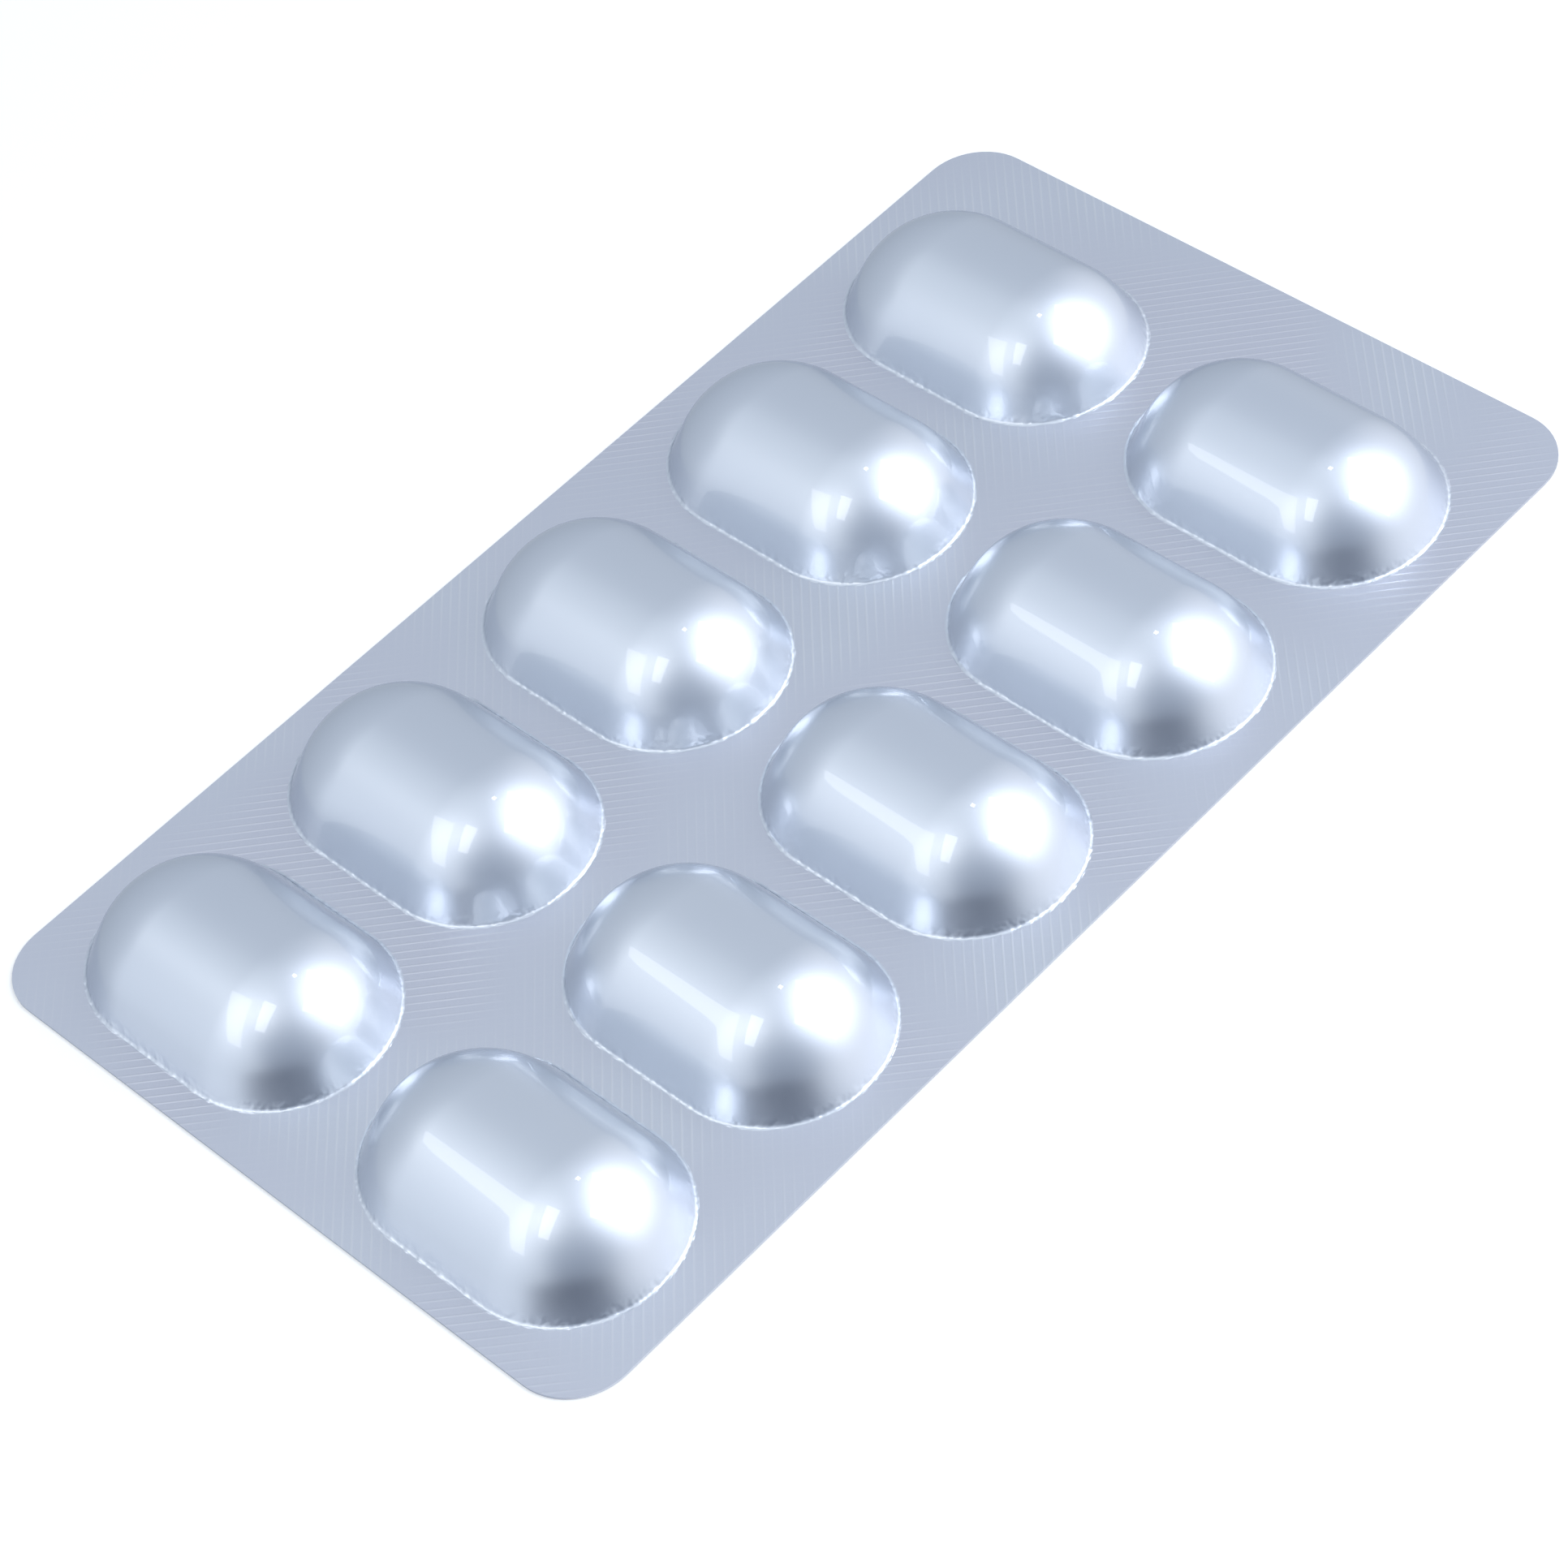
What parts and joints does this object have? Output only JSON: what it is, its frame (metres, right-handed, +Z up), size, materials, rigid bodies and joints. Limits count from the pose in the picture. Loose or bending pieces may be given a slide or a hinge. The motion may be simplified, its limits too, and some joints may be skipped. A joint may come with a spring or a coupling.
{
  "type": "pill blister pack",
  "caption": "Sealed foil blister pack: a thin rounded card with rows of domed, round-ended pockets that each hold a tablet.",
  "frame": {"origin": "centre of the card on its flat underside", "axes": "+X along the card towards the wide margin, +Y across it along the pockets, +Z up out of the pockets"},
  "size_m": [0.1062, 0.0606, 0.0067],
  "materials": {
    "foil": "nylon-coated forming foil with a soft bright sheen"
  },
  "bodies": {
    "root": {"blister_pack": "foil"}
  },
  "joints": []
}
